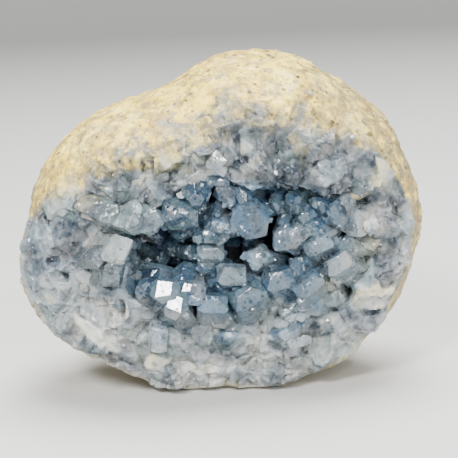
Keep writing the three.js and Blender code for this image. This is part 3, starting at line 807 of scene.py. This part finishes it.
def celestite_material(settings, name, clear, absorption, tilt, dull):
    """Celestite crystals: glassy faces on a slightly milky blue body, frosted by etching."""
    material, tree = new_material(name)
    where = add_node(tree, "TexCoord").outputs["Object"]
    inside, warm, polish = (
        add_node(tree, "Attribute", attribute_name=name).outputs["Fac"]
        for name in ("inside", "warm", "polish")
    )
    mottle, fine = (
        add_node(
            tree, "TexNoise", {"Vector": where, "Scale": per_metre(size), "Detail": 4, "Roughness": 0.6}
        )
        for size in (4, 0.9)
    )
    base = grown_colour(tree, where, settings, mottle, fine)
    base = laid_over(tree, base, ((warm, 0.1, 1, 0.6, "#d8c88c"),))
    normal, share = facets(tree, where, size=0.7, tilt=tilt, sparkling=0.32)
    even = add_node(tree, "NewGeometry").outputs["Normal"]
    normal = add_node(tree, "Mix", {0: polish, 4: normal, 5: even}, data_type="VECTOR")
    rough = add_node(
        tree, "MapRange",
        {"Value": share, "From Min": 0.2, "From Max": 0.7, "To Min": dull * 3, "To Max": dull},
    )
    bump = add_node(tree, "Bump", {"Height": fine, "Strength": 0.2, "Distance": 0.2 * MM, "Normal": normal})
    cloud = add_node(
        tree, "MapRange",
        {"Value": mottle, "From Min": 0.35, "From Max": 0.65, "To Min": clear + 0.15, "To Max": clear - 0.2},
    )
    milk = add_node(tree, "Math", {0: cloud, 1: inside}, operation="MULTIPLY")
    shader = add_node(
        tree, "BsdfPrincipled",
        {"Base Color": base, "Roughness": rough, "IOR": 1.62, "Transmission Weight": milk, "Normal": bump},
    )
    depth = add_node(tree, "VolumeAbsorption", {"Color": linear("#9db9cf"), "Density": absorption})
    add_node(tree, "OutputMaterial", {"Surface": shader, "Volume": depth})
    return material


# ------------------------------------------------------------------ the pieces
class GEODE_OT_stone(bpy.types.Operator):
    """Model the rind and the wall as one grown mass, from the solid"""

    bl_idname = "geode.stone"
    bl_label = "Rind and wall"

    def execute(self, context):
        settings = context.scene.geode_stone
        stone = self.even_copy(context, settings.cell)
        free = smooth_step(0.2, 3, coordinates(stone)[:, 2] / MM)
        rind = self.shape_and_paint(stone, free)
        self.roughen(stone, settings, rind, free)
        activate(stone)
        bpy.ops.object.shade_smooth_by_angle(angle=math.radians(35))
        stone.data.materials.clear()
        stone.data.materials.append(stone_material(settings, context.scene.geode_crystals))
        settle(stone, "rind_and_wall", "stone_shell")
        return {"FINISHED"}

    def even_copy(self, context, cell):
        """Copy the solid with mesh cells of one size, and smaller ones in front"""
        stone = STONE.copy()
        stone.data = STONE.data.copy()
        stone.name = stone.data.name = "geode_stone"
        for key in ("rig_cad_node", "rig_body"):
            del stone[key]
        stone.parent = None
        context.collection.objects.link(stone)
        activate(stone)
        bpy.ops.object.mode_set(mode="EDIT")
        bpy.ops.mesh.select_all(action="SELECT")
        bpy.ops.mesh.remove_doubles(threshold=0.001 * MM)
        bpy.ops.object.mode_set(mode="OBJECT")
        apply_modifier(stone, "REMESH", mode="VOXEL", voxel_size=cell, use_smooth_shade=True)
        apply_modifier(stone, "SMOOTH", factor=0.5, iterations=3)
        self.refine(stone, lambda middle, normal, behind: middle.y < 0.005)
        self.refine(stone, lambda middle, normal, behind: behind < 4 and normal.y < 0)
        return stone

    def shape_and_paint(self, stone, free):
        """Break the face into its forms and facets, store what the material reads, and return the
        share of rind"""
        points, normals = coordinates(stone), vertex_normals(stone)
        height, behind = points[:, 2] / MM, behind_face(points)
        blue = blueness(points, 1.15, 0.88)
        rind = rind_share(points)
        # Facets are full on the bare wall, and lower on the rind, in the hollow and at the rim.
        bare = free * (1 - 0.92 * smooth_step(0.3, 0.9, rind))
        bare *= 1 - 0.5 * smooth_step(1.24, 0.92, hollow_share(points))
        bare *= 0.45 + 0.55 * smooth_step(1, 7, below_rim(points))

        front = points[:, 1] < 0
        cut = near_line(points, CREVICE) / CREVICE_WIDTH
        points -= normals * (1.6 * MM * np.exp(-cut ** 2) * front)[:, None]
        x, y, up = measured(points)
        # The hollow's lip hangs lower on the right.
        drop = smooth_step(4, 12, x) * smooth_step(44, 36, x) * smooth_step(0, -15, y)
        drop *= smooth_step(78, 66, up) * smooth_step(48, 56, up)
        points[:, 2] -= LIP_DROP * MM * drop
        for hole_x, hole_up, half_width, half_height, depth in HOLES:
            near = np.hypot((x - hole_x) / half_width, (up - hole_up) / half_height)
            points[:, 1] += depth * MM * smooth_step(1.5, 0.5, near) * (points[:, 1] < 0)
        for thin_x, thin_up, half_width, half_height, share in THIN_RIND:
            near = np.exp(-((x - thin_x) / half_width) ** 2 - ((up - thin_up) / half_height) ** 2)
            rind = np.maximum(rind - share * near * (y < 0), 0)
        # The known forms stand out or sink in, and then crystals of three sizes tilt over them.
        darker, warmer = tints_and_shade(points)
        _, _, stand_out, in_form = wall_forms(points, np.zeros(len(points)), warmer)
        points[:, 1] -= stand_out * MM * (1 - rind)
        tones, edges = [], []
        for number, (size, rise, slope) in enumerate(FACETS):
            middles, traits, border = cells(points / MM, size, number + 3)
            lean = ((traits[:, 1:] - 0.5) * (points / MM - middles)).sum(1) * slope * 2
            worn = smooth_step(0, 0.16, border)
            offset = ((traits[:, 0] - 0.5) * 2 * rise + lean) * (0.6 + 0.4 * worn)
            points += normals * (offset * bare * (1 - 0.6 * in_form))[:, None] * MM
            edges.append(1 - worn)
            tones.append(traits[:, 0])
        set_coordinates(stone, points)

        tone = 0.5 * tones[0] + 0.4 * tones[1] + 0.1 * tones[2] + darker
        tone, warm, _, _ = wall_forms(points, tone, warmer)
        # The clear dark crystals keep away from the rind.
        tone = np.where(tone > 0.3, 0.3 + (tone - 0.3) * (1 - 0.75 * smooth_step(0, 0.35, rind)), tone)
        low_rim = smooth_step(5, 1, below_rim(points)) * smooth_step(50, 35, height)
        right_end = 0.9 * smooth_step(15, 42, x) * smooth_step(15, -10, y)
        # A patch of the wall on the left is bluish, as the hollow's crystals are.
        bluish = 0.25 * np.exp(-((x + 43) ** 2 + (up - 42) ** 2) / 16 ** 2)
        for name, values in (
            ("rind", rind * (1 + 1.2 * smooth_step(3, 14, behind))),
            ("skin", smooth_step(0, 6, behind) * smooth_step(25, 60, height)),
            ("inside", np.maximum(blue, bluish)),
            ("tone", tone - 0.3 * low_rim),
            ("warm", warm + 0.6 * low_rim),
            ("low", np.maximum(smooth_step(68, 48, height), right_end)),
            ("grain", tones[2]),
            ("edge", edges[0]),
        ):
            paint(stone, name, values)
        return rind

    def roughen(self, stone, settings, rind, free):
        """Raise the dents, lumps, pits and grains of the rind and wall"""
        points = coordinates(stone)
        rough = np.array([noise.noise(Vector(point) / (13 * MM)) for point in points])
        for name, weights in (
            ("rind_free", rind * free),
            ("pitted", rind * free * (0.35 + 0.65 * smooth_step(-0.25, 0.3, rough))),
            ("back", free * smooth_step(0, 0.015, points[:, 1])),
            ("free", free),
        ):
            weigh(stone, name, weights)
        for name, size, rise, middle_level, group, extra in (
            ("dents", 22, 3 * MM, 0.85, "back", {"noise_depth": 2}),
            ("lumps", 9, settings.lump, 0.7, "rind_free", {"noise_depth": 3}),
            ("pits", 3.4, settings.pit, 0.8, "pitted", {"noise_depth": 3, "contrast": 2.2}),
            ("fine_grains", 1.2, settings.grain, 0.5, "free", {"noise_depth": 2}),
        ):
            clouds = bpy.data.textures.new(name, "CLOUDS")
            clouds.noise_scale = size * MM
            for key, value in extra.items():
                setattr(clouds, key, value)
            apply_modifier(
                stone, "DISPLACE", texture=clouds, strength=rise, mid_level=middle_level,
                vertex_group=group, texture_coords="LOCAL",
            )
        stone.vertex_groups.clear()

    def refine(self, stone, wanted):
        """Divide the mesh cells once more where the fine relief shows"""
        activate(stone)
        bpy.ops.object.mode_set(mode="EDIT")
        bpy.ops.mesh.select_mode(type="FACE")
        bpy.ops.mesh.select_all(action="DESELECT")
        cage = bmesh.from_edit_mesh(stone.data)
        middles = [face.calc_center_median() for face in cage.faces]
        shares, behind = hollow_share(np.array(middles)), behind_face(np.array(middles))
        for face, middle, share, depth in zip(cage.faces, middles, shares, behind):
            face.select = share > 0.93 and wanted(middle, face.normal, depth)
        bmesh.update_edit_mesh(stone.data)
        bpy.ops.mesh.subdivide(number_cuts=1)
        bpy.ops.object.mode_set(mode="OBJECT")


class GEODE_OT_face_crystals(bpy.types.Operator):
    """Model the broken crystals that stand a little out of the front face"""

    bl_idname = "geode.face_crystals"
    bl_label = "Face crystals"

    def execute(self, context):
        settings = context.scene.geode_crystals
        rng = random.Random(5)
        spread = np.random.default_rng(5)
        blanks = {name: crystal_blank(name, cuts, edge=0.03) for name, cuts in CRYSTAL_SHAPES.items()}
        towards_front = Vector((0, -1, 0.2))
        copies = []

        def on_face(x, height):
            point, _, _, _ = STONE_SURFACE.ray_cast(place(x, RAYS_FROM, height), Vector((0, 1, 0)))
            if point is None:
                raise RuntimeError(f"no stone behind the face crystal at {x}, {height}")
            return point

        for shape, tip, root, width, tone in FACE_CRYSTALS:
            # Both ends lie below the face, so that only the crystal's broad side stands out.
            copies.append(crystal_copy(
                blanks[shape], on_face(*root) + Vector((0, width * 0.8, 0)) * MM,
                on_face(*tip) + Vector((0, 2.8, 0)) * MM, width * MM, width * 0.7 * MM,
                shaken(rng, towards_front, 0.3), rng, tone,
            ))
        middle = place(HOLLOW_MIDDLE[0], 0, NODULE_MIDDLE[2] + HOLLOW_MIDDLE[2])

        def fits(points, normals):
            up = np.clip((points[:, 2] / MM - 48) / 45, 0, 1)
            on_wall = (hollow_share(points) > 1) & (behind_face(points) < 3) & (normals[:, 1] < -0.3)
            return on_wall & (below_rim(points) > 15 + 25 * up) & (points[:, 2] > 6 * MM)

        places = growing_places(4000, (3, 4.5, 6.5), fits, 0.9, spread)
        for point, normal, width in places[:settings.face_count]:
            inward = middle - point
            inward.y = 0
            axis = shaken(rng, inward.normalized() * 0.6 + normal, 0.35)
            facing = towards_front, 0.8
            copies.append(grown_crystal(blanks, point, axis, 7, (-0.02, 0.1), width, facing, rng))
        material = celestite_material(
            settings, "massive_celestite", clear=0.2, absorption=40, tilt=0.35, dull=0.17
        )
        piece = fuse(copies, "face_crystals", material)
        remove(blanks.values())
        paint(piece, "warm", tints_and_shade(coordinates(piece))[1])
        paint(piece, "inside", blueness(coordinates(piece), 1.24, 0.92))
        settle(piece, "celestite")
        return {"FINISHED"}


class GEODE_OT_hollow_crystals(bpy.types.Operator):
    """Model the crust of crystals that lines the hollow"""

    bl_idname = "geode.hollow_crystals"
    bl_label = "Hollow crystals"

    def execute(self, context):
        settings = context.scene.geode_crystals
        rng = random.Random(8)
        spread = np.random.default_rng(8)
        blanks = {name: crystal_blank(name, cuts, edge=0.02) for name, cuts in CRYSTAL_SHAPES.items()}
        copies = self.known_ones(blanks, rng)
        copies += self.crowd(blanks, settings.gap, rng, spread)
        copies += self.lining(blanks, settings.gap, rng, spread)
        material = celestite_material(
            settings, "blue_celestite", clear=0.7, absorption=25, tilt=0.07, dull=0.07
        )
        piece = fuse(copies, "hollow_crystals", material)
        surfaces = BVHTree.FromObject(piece, context.evaluated_depsgraph_get()), STONE_SURFACE
        piece = fuse([piece, *self.glints(blanks["hexagon"], surfaces, rng)], "hollow_crystals", material)
        remove(blanks.values())
        piece = self.add_druse(piece, settings.druse_count, material, rng, spread)
        paint(piece, "warm", tints_and_shade(coordinates(piece))[1])
        paint(piece, "inside", blueness(coordinates(piece), 1.15, 0.7))
        settle(piece, "celestite", "crystal_crust")
        return {"FINISHED"}

    def known_ones(self, blanks, rng):
        """Place the large crystals that are known one by one"""
        copies = []
        for shape, tip, root, width, thickness, tone, lean in HOLLOW_CRYSTALS:
            copy = crystal_copy(
                blanks[shape], place(*root), place(*tip), width * MM, width * thickness * MM,
                shaken(rng, TO_CAMERA, 0.3), rng, tone, lean,
            )
            paint(copy, "polish", (coordinates(blanks[shape])[:, 2] > END_PART) * POLISH * (lean == 0))
            copies.append(copy)
        return copies

    def crowd(self, blanks, gap, rng, spread):
        """Crowd crystals all over the opening behind the known ones. They lie deeper towards its
        middle and lean out from the hollow's sides, and the outermost lie in the wall"""
        places = spread.uniform(-1.2, 1.2, (4000, 2)) * OPENING_HALF
        widths = spread.triangular(4, 5.5, 9, len(places))
        copies = []
        for number in thinned(places, gap / MM * widths / 5.5):
            (x, up), width = places[number], widths[number]
            share = math.hypot(x / OPENING_HALF[0], up / OPENING_HALF[1])
            if share > CROWD_REACH:
                continue
            at = OPENING_MIDDLE[0] + x, OPENING_MIDDLE[1] + up
            sunk = max(
                deep * (math.hypot((at[0] - gx) / gw, (at[1] - gz) / gh) < 1) for gx, gz, gw, gh, deep in GAPS
            )
            hollowed = CROWD_DEPTH * (1 - 0.6 * smooth_step(0, -14, up))
            proud = rng.uniform(-1.5, 2) if share < 0.9 else rng.uniform(-0.3, 0.8)
            depth = face_depth(*at) + proud + max(1 + hollowed * (1 - share ** 2), 0.4) + sunk
            out = Vector((x, 0, up * 1.3)).normalized() * (0.25 + 0.6 * min(share, 0.8))
            axis = shaken(rng, -out - Vector((0, 0.9, 0)), 0.35)
            tip = place(at[0], depth, at[1])
            darker = tints_and_shade(np.array([tip]))[0, 0]
            # The outermost are short, so that their roots stay inside the wall.
            length = rng.uniform(12, 16) * (1 - 0.5 * smooth_step(0.85, 1.05, share))
            # A crystal sunk in a gap is painted darker by its depth, and one under the lip takes the painted
            # shade there.
            copies.append(crystal_copy(
                rng.choice(list(blanks.values())), tip - axis * length * MM, tip,
                width * MM, width * rng.uniform(0.65, 0.95) * MM, shaken(rng, TO_CAMERA, 0.9), rng,
                max(0.15 + 0.35 * (1 - share ** 2), 0) + rng.uniform(0, 0.5) + 0.1 * sunk + darker,
            ))
        return copies

    def lining(self, blanks, gap, rng, spread):
        """Line the hollow's back and sides, which show through the gaps"""
        middle = place(*HOLLOW_MIDDLE[:2], NODULE_MIDDLE[2] + HOLLOW_MIDDLE[2])

        def fits(points, _):
            lining = (hollow_share(points) < 1.15) & (behind_face(points) > 5)
            return lining & (np.abs(points[:, 0] / MM - BACK_MIDDLE) < BACK_REACH)

        copies = []
        for point, normal, width in growing_places(5000, (3.5, 5, 8), fits, 0.24 * gap / MM, spread):
            axis = shaken(rng, normal + (middle - point).normalized() + Vector((0, -0.4, 0)), 0.55)
            facing = TO_CAMERA, 0.9
            copies.append(grown_crystal(blanks, point, axis, 3, (0.5, 1.1), width, facing, rng))
        return copies

    def glints(self, blank, surfaces, rng):
        """Set small flat faces into whatever surface is in front, where they flash"""
        axis = Vector(HALF_WAY).normalized()
        copies = []
        for x, height, width in GLINTS:
            start = place(x, RAYS_FROM, height)
            hits = (surface.ray_cast(start, Vector((0, 1, 0)))[0] for surface in surfaces)
            front = min((hit for hit in hits if hit), key=lambda hit: hit.y)
            copies.append(crystal_copy(
                blank, front - axis * GLINT_ROOT * MM, front + axis * GLINT_RISE * MM,
                width * MM, width * 0.8 * MM, shaken(rng, TO_CAMERA, 0.5), rng, 0, 0,
            ))
        return copies

    def add_druse(self, piece, count, material, rng, spread):
        """Sprinkle tiny crystals on the large ones, in clusters, where they sparkle"""
        grain = crystal_blank("druse_blank", DRUSE_SHAPE, edge=0)
        points, normals = surface_points(piece, count * 12, spread)
        clustered = np.array([noise.noise(Vector(point) / (7 * MM)) for point in points])
        seen = (normals[:, 1] < 0.3) & (clustered > 0.08) & (behind_face(points) > -1.5)
        points, normals = points[seen][:count], normals[seen][:count]
        copies = [piece]
        for point, normal in zip(points, normals):
            point, width = Vector(point), rng.triangular(0.7, 2.2, 1.1) * MM
            axis = shaken(rng, Vector(normal), 0.6)
            copies.append(crystal_copy(
                grain, point - axis * 0.6 * width, point + axis * 0.5 * width, width, width * 0.8,
                shaken(rng, Vector((0, -1, 0)), 0.9), rng, rng.uniform(0, 0.7),
            ))
        remove([grain])
        return fuse(copies, "hollow_crystals", material)


class GEODE_OT_stage(bpy.types.Operator):
    """Set up the pale floor, the soft studio light and the camera"""

    bl_idname = "geode.stage"
    bl_label = "Stage"

    def execute(self, context):
        settings = context.scene.geode_stage
        middle = Vector(NODULE_MIDDLE) * MM
        bpy.ops.object.select_all(action="DESELECT")
        bpy.ops.mesh.primitive_circle_add(vertices=96, radius=FLOOR_RADIUS, fill_type="NOTHING")
        floor = context.object
        floor.name = "floor"
        # The floor curves up into a wall all round, so that no edge of it shows from any side.
        bpy.ops.object.mode_set(mode="EDIT")
        bpy.ops.mesh.select_mode(type="EDGE")
        radius = FLOOR_RADIUS
        for step in range(COVE_STEPS):
            turn, end = (math.radians(90 * number / COVE_STEPS) for number in (step, step + 1))
            wider = radius + COVE_RADIUS * (math.sin(end) - math.sin(turn))
            rise = COVE_RADIUS * (math.cos(turn) - math.cos(end))
            bpy.ops.mesh.extrude_edges_move(TRANSFORM_OT_translate={"value": (0, 0, rise)})
            bpy.ops.transform.resize(value=(wider / radius, wider / radius, 1))
            radius = wider
        bpy.ops.mesh.select_all(action="DESELECT")
        cage = bmesh.from_edit_mesh(floor.data)
        for edge in cage.edges:
            edge.select = all(vertex.co.z < 1e-5 for vertex in edge.verts)
        bmesh.update_edit_mesh(floor.data)
        bpy.ops.mesh.edge_face_add()
        bpy.ops.mesh.select_all(action="SELECT")
        bpy.ops.mesh.normals_make_consistent(inside=True)
        bpy.ops.object.mode_set(mode="OBJECT")
        bpy.ops.object.shade_smooth_by_angle(angle=math.radians(20))
        material, tree = new_material("painted_studio_floor")
        shader = add_node(tree, "BsdfPrincipled", {"Base Color": settings.floor, "Roughness": 0.7})
        add_node(tree, "OutputMaterial", {"Surface": shader})
        floor.data.materials.append(material)

        world = bpy.data.worlds.new("soft_room")
        world.use_nodes = True
        background = world.node_tree.nodes["Background"]
        background.inputs["Color"].default_value = linear("#e4e6ea")
        background.inputs["Strength"].default_value = 0.3
        context.scene.world = world

        for name, offset, size, power in (
            ("key", (-0.35, -1.0, 0.75), 0.24, settings.key),
            ("fill", (0.4, -1.1, 0.25), 0.5, settings.key * 0.5),
            ("top", (0.1, 0.1, 1.25), 0.9, settings.key * 2),
            ("glint", (0.25, -0.85, 0.55), 0.04, settings.glint),
        ):
            lamp = bpy.data.lights.new(name, "AREA")
            lamp.size = size
            lamp.energy = power
            light = bpy.data.objects.new(name, lamp)
            context.collection.objects.link(light)
            light.location = middle + Vector(offset)
            light.rotation_euler = (-Vector(offset)).to_track_quat("-Z", "Y").to_euler()

        camera = bpy.data.objects.new("camera", bpy.data.cameras.new("camera"))
        context.collection.objects.link(camera)
        camera.data.lens = LENS
        camera.data.sensor_width = SENSOR_WIDTH
        back = Vector((0, -math.cos(CAMERA_ELEVATION), math.sin(CAMERA_ELEVATION)))
        aim = middle + Vector(CAMERA_AIM) * MM
        camera.location = aim + back * CAMERA_DISTANCE * MM
        look = (-back).to_track_quat("-Z", "Y")
        camera.rotation_euler = (look @ Quaternion((0, 0, 1), -CAMERA_ROLL)).to_euler()
        context.scene.camera = camera
        return {"FINISHED"}


class GEODE_PT_panel(bpy.types.Panel):
    """The geode's settings and the steps that build it"""

    bl_idname = "GEODE_PT_panel"
    bl_label = "Celestite geode"
    bl_space_type = "VIEW_3D"
    bl_region_type = "UI"
    bl_category = "Geode"

    def draw(self, context):
        for title, group, operators in STEPS:
            box = self.layout.box()
            box.label(text=title)
            settings = getattr(context.scene, group)
            for name in settings.__annotations__:
                box.prop(settings, name)
            for operator in operators:
                box.operator(operator.bl_idname)


STEPS = (
    ("Stone", "geode_stone", (GEODE_OT_stone,)),
    ("Crystals", "geode_crystals", (GEODE_OT_face_crystals, GEODE_OT_hollow_crystals)),
    ("Stage", "geode_stage", (GEODE_OT_stage,)),
)
GROUPS = {"geode_stone": StoneSettings, "geode_crystals": CrystalSettings, "geode_stage": StageSettings}
CLASSES = (*GROUPS.values(), *(o for _, _, operators in STEPS for o in operators), GEODE_PT_panel)


def register():
    for one in CLASSES:
        bpy.utils.register_class(one)
    for name, group in GROUPS.items():
        setattr(bpy.types.Scene, name, PointerProperty(type=group))


def unregister():
    for name in GROUPS:
        delattr(bpy.types.Scene, name)
    for one in reversed(CLASSES):
        bpy.utils.unregister_class(one)


def main():
    register()
    bpy.ops.geode.stone()
    bpy.ops.geode.face_crystals()
    bpy.ops.geode.hollow_crystals()
    bpy.ops.geode.stage()


if __name__ == "__main__":
    main()
